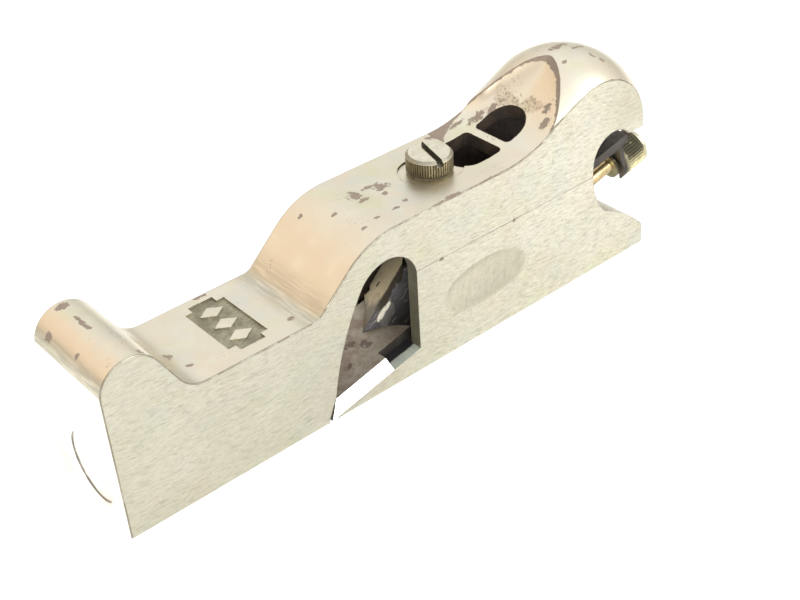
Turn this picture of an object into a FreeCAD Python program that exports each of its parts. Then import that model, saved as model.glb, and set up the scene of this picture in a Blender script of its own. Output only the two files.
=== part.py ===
"""Cabinet-maker's rabbet plane, 7 1/2 in by 1 1/4 in: two iron castings, cutter, lever cap,
screws and a cutter adjuster.  Millimetres.

The pieces are drawn with x running back from the toe, y across from the middle of the plane
and z up from the sole.  They are moved at the end, so that the origin is the middle of the
bottom of the whole plane's bounding box.
"""
import FreeCAD, Part
import math
import os

from FreeCAD import Vector

os.makedirs("parts", exist_ok=True)

# ---- whole plane ----
SOLE_LENGTH = 190.5        # 7 1/2 in
WIDTH = 31.75              # 1 1/4 in
HALF = WIDTH / 2
CHANNEL_HALF = 12.0        # half the width between the side walls
PARTING_Z = 33.8           # where the top casting sits on the base
ABOVE = 90.0               # cutting shapes reach clear of the plane: up to this height,
BEHIND = 210.0             # back to here,
OVER = 1.0                 # and this much past a face

# ---- nose, flat and deck of the top casting ----
NOSE_R = 8.6
NOSE_Z = 43.6              # height of the nose round's centre
NOSE_FALL = math.radians(60)
FLAT_Z = 34.8
FLAT_FILLET = 8.0
RISE_FOOT_X = 62.86        # where the rise would meet the flat
RISE_ANGLE = math.radians(43)
RISE_FILLET = 4.0
RISE_ROUND = 24.5
DECK_Z = 51.2
DECK_SKIN = 4.8
HOLLOW_FRONT_X = 90.4      # the hollow under the deck
HOLLOW_REAR_X = 160.0
TOE_RECESS_R = 10.4
TOE_RECESS_Z = 13.2
TOE_RECESS_DEPTH = 1.2

# ---- mouth and side opening ----
MOUTH_FRONT_X = 62.7
EDGE_X = 63.9              # cutting edge
WALL_FRONT_X = 96.4        # upright rear edge of the side opening

# ---- palm rest: a ball with a tangent taper running forward and down ----
PALM_X = 168.5
PALM_Z = 44.2
PALM_R = 25.2
PALM_SKIN = 4.2
PALM_TAPER = math.radians(25.6)
PALM_LIP_Z = 42.5
SCOOP_X = 129.0            # where the deck starts to curve up
SCOOP_R = 43.2
SCOOP_FULL_X = 146.0       # up to here the deck's own outline is the scoop's floor
CUP_X = 143.0              # where the tighter arcs start
CUP_TURN = 75.0            # the slope at which they end, above the palm rest
CUP_SECTIONS = 16
NEAR_CUP = 1.55            # how much tighter the arc gets for each millimetre from the middle
FAR_CUP = 2.9
CUP_BLEND = 1.2
CUP_LEAST_R = 8.0

# ---- openings in the deck and the hollow in each side ----
FRONT_WINDOW = (122.6, 137.1)
FRONT_WINDOW_HALF = 7.6
FRONT_WINDOW_R = 5.5
REAR_WINDOW = (139.7, 151.1)
REAR_WINDOW_HALF = 7.0
REAR_WINDOW_R = 6.9
SHARP_CORNER = 1.6
FINGER_HOLLOW = (122.1, 18.4)
FINGER_RADII = (21.2, 6.0, 10.3)
FINGER_DEPTH = 2.2

# ---- base ----
BED_START = 2.1            # the bed stops this much behind the cutting edge
CHANNEL_END = 180.0
CHANNEL_RUNOUT = 5.0       # the channel's floor starts this far ahead of the upright walls
BRIDGE_FRONT = 5.0         # the bridge reaches this far ahead of the fulcrum rib
BRIDGE_REAR = 7.5          # and this far behind the body screw

# ---- rear cutaway ----
ARCH_X, ARCH_Z, ARCH_R = 175.2, 37.1, 8.5

# ---- cutter ----
BED = math.radians(13.2)
CUTTER_T = 3.1
CUTTER_LENGTH = 134.0
CUTTER_BEVEL = math.radians(34)
HEAD_LENGTH = 23.2
FLANK_RELIEF = 2.8
SHANK_HALF = 9.75
SHANK_END = 100.0
TAIL_HALF = 5.2
HOOK = (130.0, 131.7)
HOOK_R = 5.9               # the hook's round lower end, about the stud's axis
FORK_PLAY = 0.4            # radial clearance of the fork round the nut's neck

# ---- lever cap, in distances up the bed and above it ----
NOSE_TIP = 25.7
NOSE_SPREAD = 10.6         # the nose widens to the full cap over this length
NEAR_HOLLOW = 1.1          # how deep the nose facet on each side is hollowed
FAR_HOLLOW = 0.25
CAP_HALF = 11.5
CAP_LIFT = 1.5             # underside above the cutter behind the nose
CAP_TOP = 14.2
CAP_RIDGE_END = 44.5
CAP_BACK = (57.2, 72.8)    # between these the back slopes down to the tail
CAP_END_R = 5.0
CAP_TAIL_TOP = 9.6
CAP_END = 103.0
FULCRUM = 54.8
FULCRUM_R = 2.0
CAP_SCREW = 96.5
CAP_SCREW_R = 3.0
CAP_SCREW_HEAD_R = 6.5
CAP_SCREW_HEAD_H = 6.5
CAP_SCREW_CLEAR = 1.0      # head above the cap's tail
CAP_SCREW_GAP = 0.8        # the tip is backed off the cutter by this much

# ---- cutter adjuster ----
STUD_R = 2.15
STUD = (100.0, 137.5)
STUD_DROP = 8.46           # axis below the cutter's underside
NUT_R = 6.0
NUT_HEAD = (132.0, 142.0)
NUT_BAND = 1.6             # plain band behind the knurling
NECK_R = 2.9
NUT_FLANGE = (128.5, 129.6)
NUT_FLANGE_R = 4.3
NUT_FLOOR = 1.4

# ---- body screw ----
SCREW_X = 116.2
SCREW_R = 3.0
SCREW_HEAD_R = 6.7
SCREW_HEAD_H = 6.1
SCREW_TIP_Z = 29.0
SLOT_WIDTH = 1.8
SLOT_DEPTH = 2.0
SLOT_TURN = 15.0
SEAT_R = 8.0
SEAT_DEPTH = 0.5
SEAT_CENTRES = (114.7, 118.5)
TRAVEL_OPEN = 1.6          # how far the top casting slides forward
TRAVEL_SHUT = 0.5          # and back
SLOT_PLAY = 0.2            # clearance all round the screw in the top casting's slot
RUNNING = 0.05             # radial clearance of shafts in their holes

# ---- knurling and ornament ----
KNURL_DEPTH = 0.35
KNURL_GROOVE = 0.37        # width of a groove at the crests, as a share of the pitch
CAP_SCREW_TEETH, CAP_SCREW_CHAMFER = 48, 0.7
NUT_TEETH, NUT_CHAMFER = 40, 1.0
SCREW_TEETH, SCREW_CHAMFER = 56, 0.8
CARTOUCHE = (45.1, 12.1, 24.4)
CARTOUCHE_SHIFT = 0.6
CARTOUCHE_NOTCH = 2.3
CARTOUCHE_DEPTH = 0.5
LOZENGES = (-0.27, 0.0, 0.27)   # their middles, as shares of the panel's width
LOZENGE_HALF = (0.3, 0.1)  # half length and width, as shares of the panel's
LOZENGE_RISE = 0.8         # height, as a share of the panel's depth
ARRIS = 0.4                # the plated casting's upper edges are eased by this radius


# ------------------------------------------------------------------ drawing helpers
def p(x, z):
    return Vector(x, 0, z)


def polar(centre, radius, degrees):
    turn = math.radians(degrees)
    return p(centre[0] + radius * math.cos(turn), centre[1] + radius * math.sin(turn))


def outline(*steps):
    """A closed wire in the XZ plane.  A step is a point, or (through, end) for an arc."""
    edges = []
    here = steps[0]
    for step in steps[1:] + (steps[0],):
        if isinstance(step, tuple):
            through, end = step
            edges.append(Part.Arc(here, through, end).toShape())
        else:
            end = step
            edges.append(Part.makeLine(here, end))
        here = end
    return Part.Wire(edges)


def across(wire, half):
    """The outline carried across the plane, from -half to +half."""
    face = Part.Face(wire)
    face.translate(Vector(0, -half, 0))
    return face.extrude(Vector(0, 2 * half, 0))


def block(x, y, z):
    """A box between pairs of limits."""
    return Part.makeBox(x[1] - x[0], y[1] - y[0], z[1] - z[0], Vector(x[0], y[0], z[0]))


def bed_x(along, above):
    return EDGE_X + along * math.cos(BED) - above * math.sin(BED)


def bed_z(along, above):
    return along * math.sin(BED) + above * math.cos(BED)


def bed_height(x):
    """Height of the bed over the sole."""
    return (x - EDGE_X) * math.tan(BED)


def onto_bed(shape):
    """Moves a shape drawn with x up the bed and z square to it into its place."""
    shape.rotate(Vector(0, 0, 0), Vector(0, 1, 0), -math.degrees(BED))
    shape.translate(Vector(EDGE_X, 0, 0))
    return shape


def window(x, half, front_radius, rear_radius):
    """An upright prism through the deck with one radius at its front corners, one at its rear."""
    tool = block(x, (-half, half), (PARTING_Z + OVER, ABOVE))

    def corners(at_x):
        return [e for e in tool.Edges if e.BoundBox.ZLength > ABOVE / 2 and e.BoundBox.YLength < 0.01
                and abs(e.BoundBox.Center.x - at_x) < 0.01]

    tool = tool.makeFillet(front_radius, corners(x[0]))
    return tool.makeFillet(rear_radius, corners(x[1]))


def knurled(radius, length, chamfer, teeth, band=0.0):
    """A cylinder up Z with chamfered ends and straight knurling, plain for band at its end."""
    body = Part.makeCylinder(radius, length)
    body = body.makeChamfer(chamfer, [e for e in body.Edges if e.Curve.TypeId == "Part::GeomCircle"])
    step = 360.0 / teeth
    mouth = radius + 2 * KNURL_DEPTH
    mouth_half = 3 * radius * math.radians(step) * KNURL_GROOVE / 2
    groove = Part.makePolygon([Vector(mouth, -mouth_half, 0), Vector(mouth, mouth_half, 0),
                               Vector(radius - KNURL_DEPTH, 0, 0), Vector(mouth, -mouth_half, 0)])
    groove = Part.Face(groove).extrude(Vector(0, 0, length - 2 * chamfer - band))
    groove.translate(Vector(0, 0, chamfer))
    grooves = []
    for tooth in range(teeth):
        one = groove.copy()
        one.rotate(Vector(0, 0, 0), Vector(0, 0, 1), tooth * step)
        grooves.append(one)
    return body.cut(Part.makeCompound(grooves))


# ------------------------------------------------------------------ shared cutting shapes
def side_opening():
    """The throat, open through both sides: a curved front, an arched top, an upright rear."""
    wire = outline(p(MOUTH_FRONT_X, -OVER), p(MOUTH_FRONT_X, 0.3), p(65.9, 7.6),
                   (p(69.4, 21.0), p(77.1, 37.0)),
                   (p(80.8, 40.7), p(85.6, 42.3)),
                   (p(93.6, 39.3), p(WALL_FRONT_X, PARTING_Z)),
                   p(WALL_FRONT_X, -OVER))
    return across(wire, HALF + OVER)


def rear_cutaway():
    """The hooked notch at the heel, through both sides, where the adjusting nut is reached."""
    arch = (ARCH_X, ARCH_Z)
    wire = outline(p(166.6, PARTING_Z),
                   (p(167.9, 26.6), p(172.4, 19.4)),
                   (p(181.2, 14.6), p(189.0, 8.2)),
                   (p(189.9, 7.2), p(SOLE_LENGTH, 5.6)),
                   p(BEHIND, 5.6), p(BEHIND, PALM_LIP_Z),
                   p(ARCH_X + math.sqrt(ARCH_R ** 2 - (PALM_LIP_Z - ARCH_Z) ** 2), PALM_LIP_Z),
                   (polar(arch, ARCH_R, 100), polar(arch, ARCH_R, 180)))
    return across(wire, HALF + OVER)


def palm(radius):
    """The ball of the palm rest and its taper, not yet cut flat at the sides."""
    forward = Vector(-math.cos(PALM_TAPER), 0, -math.sin(PALM_TAPER))
    centre = p(PALM_X, PALM_Z)
    ball = Part.makeSphere(radius, centre)
    taper = Part.makeCylinder(radius, PALM_X - WALL_FRONT_X, centre, forward)
    return ball.fuse(taper).removeSplitter()


def cup_radius(y):
    per_mm = NEAR_CUP if y < 0 else FAR_CUP
    return max(SCOOP_R - per_mm * (math.hypot(y, CUP_BLEND) - CUP_BLEND), CUP_LEAST_R)


def scoop(drop):
    """What the hollow in front of the palm rest takes away, sunk by drop.

    Lengthwise its floor is an arc up from the deck.  From CUP_X on a second arc follows, that
    is tighter to both sides, most on the far one.
    """
    edge = HALF + OVER
    floor = DECK_Z - drop
    top = BEHIND + ABOVE
    bowl = (SCOOP_X, floor + SCOOP_R)
    turn = math.degrees(math.asin((CUP_X - SCOOP_X) / SCOOP_R))
    start = p(SCOOP_X, floor)
    joint = polar(bowl, SCOOP_R, turn - 90)
    sections = []
    for step in range(CUP_SECTIONS + 1):
        y = edge * (2 * step / CUP_SECTIONS - 1)
        radius = cup_radius(y)
        inner = polar((joint.x, joint.z), radius, turn + 90)
        cup = (inner.x, inner.z)
        end = polar(cup, radius, CUP_TURN - 90)
        section = outline(
            start, (polar(bowl, SCOOP_R, turn / 2 - 90), joint),
            (polar(cup, radius, (turn + CUP_TURN) / 2 - 90), end),
            p(end.x, top), p(SCOOP_X, top))
        section.translate(Vector(0, y, 0))
        sections.append(section)
    return Part.makeLoft(sections, True, False)


def finger_hollow(side):
    """A shallow oval ground into one side."""
    oval = Part.makeSphere(1)
    grow = FreeCAD.Matrix()
    grow.scale(*FINGER_RADII)
    oval = oval.transformGeometry(grow)
    offset = HALF + FINGER_RADII[1] - FINGER_DEPTH
    oval.translate(Vector(FINGER_HOLLOW[0], side * offset, FINGER_HOLLOW[1]))
    return oval


def cartouche():
    """A sunk panel with notched corners, three lozenges left standing in it."""
    x, along, wide = CARTOUCHE
    ends = (x - along / 2, x + along / 2)
    deep = (FLAT_Z - CARTOUCHE_DEPTH, FLAT_Z + OVER)
    panel = block(ends, (-wide / 2 + CARTOUCHE_NOTCH, wide / 2 - CARTOUCHE_NOTCH), deep)
    inner = block((ends[0] + CARTOUCHE_NOTCH, ends[1] - CARTOUCHE_NOTCH), (-wide / 2, wide / 2), deep)
    panel = panel.fuse(inner).removeSplitter()
    half_along, half_wide = along * LOZENGE_HALF[0], wide * LOZENGE_HALF[1]
    for share in LOZENGES:
        y = wide * share
        corners = [(x - half_along, y), (x, y - half_wide), (x + half_along, y), (x, y + half_wide)]
        points = [Vector(cx, cy, deep[0]) for cx, cy in corners]
        lozenge = Part.Face(Part.makePolygon(points + points[:1]))
        panel = panel.cut(lozenge.extrude(Vector(0, 0, CARTOUCHE_DEPTH * LOZENGE_RISE)))
    panel.translate(Vector(0, CARTOUCHE_SHIFT, 0))
    return panel


# ------------------------------------------------------------------ the pieces
def top_casting():
    nose = (NOSE_R, NOSE_Z)
    fall_start = polar(nose, NOSE_R, 90 - math.degrees(NOSE_FALL))
    # the fillet between the nose's fall and the flat
    foot_z = FLAT_Z + FLAT_FILLET * (1 - math.cos(NOSE_FALL))
    foot_x = fall_start.x + (fall_start.z - foot_z) / math.tan(NOSE_FALL)
    dip = (foot_x + FLAT_FILLET * math.sin(NOSE_FALL), FLAT_Z + FLAT_FILLET)
    # the fillet, straight and round of the rise to the deck
    foot = RISE_FILLET * math.tan(RISE_ANGLE / 2)
    rise_start = p(RISE_FOOT_X + foot * math.cos(RISE_ANGLE), FLAT_Z + foot * math.sin(RISE_ANGLE))
    turn_z = DECK_Z - RISE_ROUND * (1 - math.cos(RISE_ANGLE))
    turn_x = rise_start.x + (turn_z - rise_start.z) / math.tan(RISE_ANGLE)
    brow = (turn_x + RISE_ROUND * math.sin(RISE_ANGLE), DECK_Z - RISE_ROUND)
    half_rise = math.degrees(RISE_ANGLE) / 2
    # the start of the scoop is full width
    cup_turn = math.degrees(math.asin((SCOOP_FULL_X - SCOOP_X) / SCOOP_R))
    bowl = (SCOOP_X, DECK_Z + SCOOP_R)
    profile = outline(
        p(0, 0), p(0, NOSE_Z),
        (polar(nose, NOSE_R, 110), fall_start),
        p(foot_x, foot_z),
        (polar(dip, FLAT_FILLET, 240), p(dip[0], FLAT_Z)),
        p(RISE_FOOT_X - foot, FLAT_Z),
        (polar((RISE_FOOT_X - foot, FLAT_Z + RISE_FILLET), RISE_FILLET, half_rise - 90), rise_start),
        p(turn_x, turn_z),
        (polar(brow, RISE_ROUND, 90 + half_rise), p(brow[0], DECK_Z)),
        p(SCOOP_X, DECK_Z),
        (polar(bowl, SCOOP_R, cup_turn / 2 - 90), polar(bowl, SCOOP_R, cup_turn - 90)),
        p(SCOOP_FULL_X, PARTING_Z), p(WALL_FRONT_X, PARTING_Z), p(WALL_FRONT_X, 0))
    body = across(profile, HALF)
    rest = palm(PALM_R).common(block((SCOOP_X, BEHIND), (-HALF, HALF), (PARTING_Z, ABOVE)))
    body = body.fuse(rest).removeSplitter()

    low = PARTING_Z - OVER
    hollow = block((HOLLOW_FRONT_X, HOLLOW_REAR_X), (-CHANNEL_HALF, CHANNEL_HALF), (low, DECK_Z - DECK_SKIN))
    inside = palm(PALM_R - PALM_SKIN)
    inside = inside.common(block((SCOOP_X, BEHIND), (-CHANNEL_HALF, CHANNEL_HALF), (low, ABOVE)))
    hollow = hollow.fuse(inside).cut(scoop(PALM_SKIN))

    body = body.cut(scoop(0))
    body = body.cut(hollow)
    body = body.cut(side_opening())
    body = body.cut(rear_cutaway())
    body = body.cut(window(FRONT_WINDOW, FRONT_WINDOW_HALF, FRONT_WINDOW_R, SHARP_CORNER))
    body = body.cut(window(REAR_WINDOW, REAR_WINDOW_HALF, SHARP_CORNER, REAR_WINDOW_R))

    seat_z = DECK_Z - SEAT_DEPTH
    for x in SEAT_CENTRES:
        body = body.cut(Part.makeCylinder(SEAT_R, SEAT_DEPTH + OVER, Vector(x, 0, seat_z)))
    body = body.cut(block(SEAT_CENTRES, (-SEAT_R, SEAT_R), (seat_z, seat_z + SEAT_DEPTH + OVER)))
    play = SCREW_R + SLOT_PLAY
    slot = (SCREW_X - TRAVEL_SHUT, SCREW_X + TRAVEL_OPEN)
    for x in slot:
        body = body.cut(Part.makeCylinder(play, DECK_Z - PARTING_Z, Vector(x, 0, PARTING_Z)))
    body = body.cut(block(slot, (-play, play), (PARTING_Z, DECK_Z)))

    body = body.cut(Part.makeCylinder(TOE_RECESS_R, TOE_RECESS_DEPTH, p(0, TOE_RECESS_Z), Vector(1, 0, 0)))
    body = body.cut(cartouche()).removeSplitter()
    return body.makeFillet(ARRIS, side_arrises(body))


def side_arrises(body):
    """The edges along both sides above the flat that are eased.

    The side opening's edge stays sharp, and so does the far edge from the cup back.
    """
    def eased(edge):
        box = edge.BoundBox
        beside = box.YLength < 0.001 and abs(abs(box.Center.y) - HALF) < 0.001
        in_throat = box.XMin > MOUTH_FRONT_X - 1 and box.XMax < WALL_FRONT_X + 1 and box.ZMax < 43
        by_far_cup = box.Center.y > 0 and box.XMax > SCOOP_FULL_X - 3.5
        return beside and box.ZMax > PARTING_Z + ARRIS and not in_throat and not by_far_cup

    return [edge for edge in body.Edges if eased(edge)]


def base_casting():
    front_x = EDGE_X + BED_START
    channel_x = WALL_FRONT_X - CHANNEL_RUNOUT
    profile = outline(p(front_x, 0), p(SOLE_LENGTH, 0), p(SOLE_LENGTH, PARTING_Z),
                      p(WALL_FRONT_X, PARTING_Z), p(WALL_FRONT_X, bed_height(WALL_FRONT_X)),
                      p(front_x, bed_height(front_x)))
    body = across(profile, HALF)
    channel = outline(p(channel_x, bed_height(channel_x)), p(CHANNEL_END, bed_height(CHANNEL_END)),
                      p(CHANNEL_END, ABOVE), p(channel_x, ABOVE))
    body = body.cut(across(channel, CHANNEL_HALF)).cut(rear_cutaway())

    # bridge from wall to wall: it takes the body screw and has the lever cap's fulcrum under it
    rib_x = bed_x(FULCRUM, CAP_TOP + RUNNING + FULCRUM_R)
    rib_z = bed_z(FULCRUM, CAP_TOP + RUNNING + FULCRUM_R)
    bridge = block((rib_x - BRIDGE_FRONT, SCREW_X + BRIDGE_REAR), (-CHANNEL_HALF, CHANNEL_HALF),
                   (rib_z, PARTING_Z))
    rib = Part.makeCylinder(FULCRUM_R, 2 * CHANNEL_HALF, Vector(rib_x, -CHANNEL_HALF, rib_z),
                            Vector(0, 1, 0))
    body = body.fuse([bridge, rib]).removeSplitter()
    low = rib_z - FULCRUM_R - OVER
    body = body.cut(Part.makeCylinder(SCREW_R + RUNNING, PARTING_Z - low, Vector(SCREW_X, 0, low)))

    stud_hole = Part.makeCylinder(STUD_R + RUNNING, STUD[1] - STUD[0], Vector(STUD[0], 0, -STUD_DROP),
                                  Vector(1, 0, 0))
    body = body.cut(onto_bed(stud_hole))
    for side in (-1, 1):
        body = body.cut(finger_hollow(side))
    return body.removeSplitter()


def cutter():
    """Bevel-up blade: a wide head with relieved flanks, a shank, a tail bent down into a fork."""
    head = Part.makePolygon([Vector(0, -HALF, 0), Vector(0, HALF, 0),
                             Vector(0, HALF - FLANK_RELIEF, CUTTER_T),
                             Vector(0, -HALF + FLANK_RELIEF, CUTTER_T), Vector(0, -HALF, 0)])
    blade = Part.Face(head).extrude(Vector(HEAD_LENGTH, 0, 0))
    blade = blade.fuse([
        block((OVER, SHANK_END), (-SHANK_HALF, SHANK_HALF), (0, CUTTER_T)),
        block((SHANK_END - OVER, CUTTER_LENGTH), (-TAIL_HALF, TAIL_HALF), (0, CUTTER_T)),
        block(HOOK, (-TAIL_HALF, TAIL_HALF), (-STUD_DROP, CUTTER_T)),
        Part.makeCylinder(HOOK_R, HOOK[1] - HOOK[0], Vector(HOOK[0], 0, -STUD_DROP), Vector(1, 0, 0))])
    fork = NECK_R + FORK_PLAY
    clear = (HOOK[0] - OVER, HOOK[1] + OVER)
    eye = Part.makeCylinder(fork, clear[1] - clear[0], Vector(clear[0], 0, -STUD_DROP), Vector(1, 0, 0))
    blade = blade.cut(eye).cut(block(clear, (-fork, fork), (-STUD_DROP - HOOK_R - OVER, -STUD_DROP)))
    rise = math.tan(CUTTER_BEVEL)
    grind = outline(p(-OVER, -OVER * rise), p(HEAD_LENGTH, HEAD_LENGTH * rise), p(-OVER, ABOVE))
    return onto_bed(blade.cut(across(grind, HALF + OVER)).removeSplitter())


def lever_cap():
    """Ploughshare nose on the cutter, a back under the bridge, a threaded boss at the rear."""
    under = CUTTER_T + CAP_LIFT
    side = outline(p(NOSE_TIP, CUTTER_T), p(CAP_RIDGE_END, CAP_TOP), p(CAP_BACK[0], CAP_TOP),
                   p(CAP_BACK[1], CAP_TAIL_TOP), p(CAP_END, CAP_TAIL_TOP), p(CAP_END, under),
                   p(NOSE_TIP + NOSE_SPREAD + CAP_LIFT, under), p(NOSE_TIP + NOSE_SPREAD, CUTTER_T))
    cap = across(side, CAP_HALF)
    # from the ridge down to the plan of the nose, each side is a facet hollowed along the ridge
    tip = Vector(NOSE_TIP, 0, CUTTER_T)
    ridge = Vector(CAP_RIDGE_END, 0, CAP_TOP)
    facet_end = FULCRUM - FULCRUM_R - OVER
    reach = CAP_END / 2
    for wing, hollow in ((-1, NEAR_HOLLOW), (1, FAR_HOLLOW)):
        foot = Vector(NOSE_TIP + NOSE_SPREAD, wing * CAP_HALF, CUTTER_T)
        normal = (ridge - tip).cross(foot - tip)
        normal.normalize()
        if normal.z < 0:
            normal = normal * -1
        far = Part.makeBox(2 * reach, 2 * reach, reach, Vector(-reach, -reach, 0))
        far.Placement = FreeCAD.Placement(tip, FreeCAD.Rotation(Vector(0, 0, 1), normal))
        keep_side = block((0, facet_end), (0, HALF) if wing > 0 else (-HALF, 0), (0, reach))
        cap = cap.cut(far.common(keep_side))
        along = ridge - tip
        along.normalize()
        facet = (foot - tip) - along * (foot - tip).dot(along)
        bow = (facet.Length ** 2 / 4 + hollow ** 2) / (2 * hollow)
        centre = tip + facet * 0.5 + normal * (bow - hollow)
        cap = cap.cut(Part.makeCylinder(bow, reach, centre - along * HALF, along).common(keep_side))
    hole = Part.makeCylinder(CAP_SCREW_R + RUNNING, CAP_TOP, Vector(CAP_SCREW, 0, 0))
    cap = cap.cut(hole)
    corners = [e for e in cap.Edges if e.BoundBox.XMin > CAP_END - 0.1 and e.BoundBox.ZLength > 3
               and e.BoundBox.YLength < 0.01]
    return onto_bed(cap.makeFillet(CAP_END_R, corners).removeSplitter())


def lever_cap_screw():
    head_low = CAP_TAIL_TOP + CAP_SCREW_CLEAR
    tip = CUTTER_T + CAP_SCREW_GAP
    shank = Part.makeCylinder(CAP_SCREW_R, head_low - tip + OVER, Vector(CAP_SCREW, 0, tip))
    head = knurled(CAP_SCREW_HEAD_R, CAP_SCREW_HEAD_H, CAP_SCREW_CHAMFER, CAP_SCREW_TEETH)
    head.translate(Vector(CAP_SCREW, 0, head_low))
    return onto_bed(shank.fuse(head).removeSplitter())


def adjusting_stud():
    stud = Part.makeCylinder(STUD_R, STUD[1] - STUD[0], Vector(STUD[0], 0, -STUD_DROP), Vector(1, 0, 0))
    return onto_bed(stud)


def adjusting_nut():
    head = knurled(NUT_R, NUT_HEAD[1] - NUT_HEAD[0], NUT_CHAMFER, NUT_TEETH, NUT_BAND)
    head.rotate(Vector(0, 0, 0), Vector(0, 1, 0), 90)
    head.translate(Vector(NUT_HEAD[0], 0, 0))
    start = NUT_FLANGE[0]
    neck = Part.makeCylinder(NECK_R, NUT_HEAD[0] + OVER - start, Vector(start, 0, 0), Vector(1, 0, 0))
    flange = Part.makeCylinder(NUT_FLANGE_R, NUT_FLANGE[1] - start, Vector(start, 0, 0), Vector(1, 0, 0))
    bore = Part.makeCylinder(STUD_R + RUNNING, NUT_HEAD[1] - NUT_FLOOR - start, Vector(start, 0, 0),
                             Vector(1, 0, 0))
    nut = head.fuse([neck, flange]).cut(bore).removeSplitter()
    nut.translate(Vector(0, 0, -STUD_DROP))
    return onto_bed(nut)


def body_screw():
    seat_z = DECK_Z - SEAT_DEPTH
    head = knurled(SCREW_HEAD_R, SCREW_HEAD_H, SCREW_CHAMFER, SCREW_TEETH)
    slot = block((-SLOT_WIDTH / 2, SLOT_WIDTH / 2), (-SCREW_HEAD_R, SCREW_HEAD_R),
                 (SCREW_HEAD_H - SLOT_DEPTH, SCREW_HEAD_H + OVER))
    slot.rotate(Vector(0, 0, 0), Vector(0, 0, 1), -SLOT_TURN)
    head = head.cut(slot)
    head.translate(Vector(SCREW_X, 0, seat_z))
    shank = Part.makeCylinder(SCREW_R, seat_z + OVER - SCREW_TIP_Z, Vector(SCREW_X, 0, SCREW_TIP_Z))
    return head.fuse(shank).removeSplitter()


PIECES = {
    "top_casting": top_casting,
    "base_casting": base_casting,
    "cutter": cutter,
    "lever_cap": lever_cap,
    "lever_cap_screw": lever_cap_screw,
    "adjusting_stud": adjusting_stud,
    "adjusting_nut": adjusting_nut,
    "body_screw": body_screw,
}

shapes = {name: make() for name, make in PIECES.items()}
overall = max(shape.BoundBox.XMax for shape in shapes.values())
for name, shape in shapes.items():
    shape.translate(Vector(-overall / 2, 0, 0))
    print(name, "solids", len(shape.Solids), "valid", shape.isValid(), "volume", round(shape.Volume, 1))
    shape.exportStep("parts/" + name + ".step")
print("overall length", round(overall, 3))
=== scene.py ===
"""Looks of the cabinet-maker's rabbet plane: worn nickel-plated castings with ground sides, a
patinated cutter with bright relieved flanks and knurled screws, on a pale floor in soft light.

The CAD pieces keep their meshes.  Their faces are sorted by where they lie and where they
point, and each kind has its own procedural metal.  The plain stud gets a cut thread.
"""
import math

import bpy
from mathutils import Matrix, Vector


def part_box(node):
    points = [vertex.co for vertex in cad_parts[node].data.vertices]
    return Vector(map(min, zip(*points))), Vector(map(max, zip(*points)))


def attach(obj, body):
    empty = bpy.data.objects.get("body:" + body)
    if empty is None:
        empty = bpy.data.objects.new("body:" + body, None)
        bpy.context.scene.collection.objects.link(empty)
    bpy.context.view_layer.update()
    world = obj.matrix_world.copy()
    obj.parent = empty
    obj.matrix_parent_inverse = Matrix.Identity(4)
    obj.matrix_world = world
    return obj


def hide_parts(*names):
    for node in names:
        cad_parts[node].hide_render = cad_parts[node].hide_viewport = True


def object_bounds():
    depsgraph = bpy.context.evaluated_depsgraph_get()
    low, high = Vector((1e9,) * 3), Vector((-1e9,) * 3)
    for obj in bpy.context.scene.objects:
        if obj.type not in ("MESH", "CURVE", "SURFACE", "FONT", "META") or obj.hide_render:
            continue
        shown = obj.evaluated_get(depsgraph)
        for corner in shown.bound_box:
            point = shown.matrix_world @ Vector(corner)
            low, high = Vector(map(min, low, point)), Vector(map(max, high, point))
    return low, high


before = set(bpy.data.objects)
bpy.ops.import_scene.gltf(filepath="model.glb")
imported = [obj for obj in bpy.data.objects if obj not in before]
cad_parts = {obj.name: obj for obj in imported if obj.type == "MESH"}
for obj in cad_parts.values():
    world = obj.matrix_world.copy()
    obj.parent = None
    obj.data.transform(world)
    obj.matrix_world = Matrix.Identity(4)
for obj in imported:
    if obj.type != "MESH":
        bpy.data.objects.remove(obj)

cad_low, cad_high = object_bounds()
MM = 0.001
TOE_X = cad_low.x
HALF = cad_high.y / MM

# Sizes of the plane in millimetres: x back from the toe, y from the middle, z up from the sole.
BED_ANGLE = math.radians(13.2)
ALONG_BED = (math.cos(BED_ANGLE), 0, math.sin(BED_ANGLE))
OFF_BED = (-math.sin(BED_ANGLE), 0, math.cos(BED_ANGLE))
THREAD_PITCH = 0.8
THREAD_DEPTH = 0.30
PALM_CENTRE = (168.5, 0.0, 44.2)
PALM_RADIUS = 25.2
PALM_TAPER = math.radians(25.6)
PALM_FORWARD = (-math.cos(PALM_TAPER), 0, -math.sin(PALM_TAPER))
SCOOP_X = 129.0
PARTING_Z = 33.8
FLAT_Z = 34.8
PANEL_FRONT, PANEL_REAR = 33.0, 57.6
PANEL_FLOOR_Z = 34.35                  # the sunk panel's floor lies below this
THROAT_FRONT, THROAT_REAR, THROAT_TOP = 62.0, 96.5, 43.0
HOLLOW_X, HOLLOW_Z = 122.1, 18.4       # middle of the finger hollow
HOLLOW_LENGTH, HOLLOW_HEIGHT = 16.4, 8.0
RECESS_DEPTH = 1.2
CUTAWAY_X = 165.0
BEVEL_X = 72.0                         # the cutting bevel lies in front of this
FLANK_Y = 10.0                         # the relieved flanks lie outside this
SHADOW_HALF = 13.7                        # the painted black shadow on the bed ends inside this
EDGE = 0.45                            # the eased edges are this wide
CHANNEL_HALF = 12.3
SCREW_RADIUS, NUT_RADIUS, CAP_SCREW_RADIUS = 6.7, 6.0, 6.5
NUT_PLAIN = 4.9                        # the nut's knurl ends this far behind its middle
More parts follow.
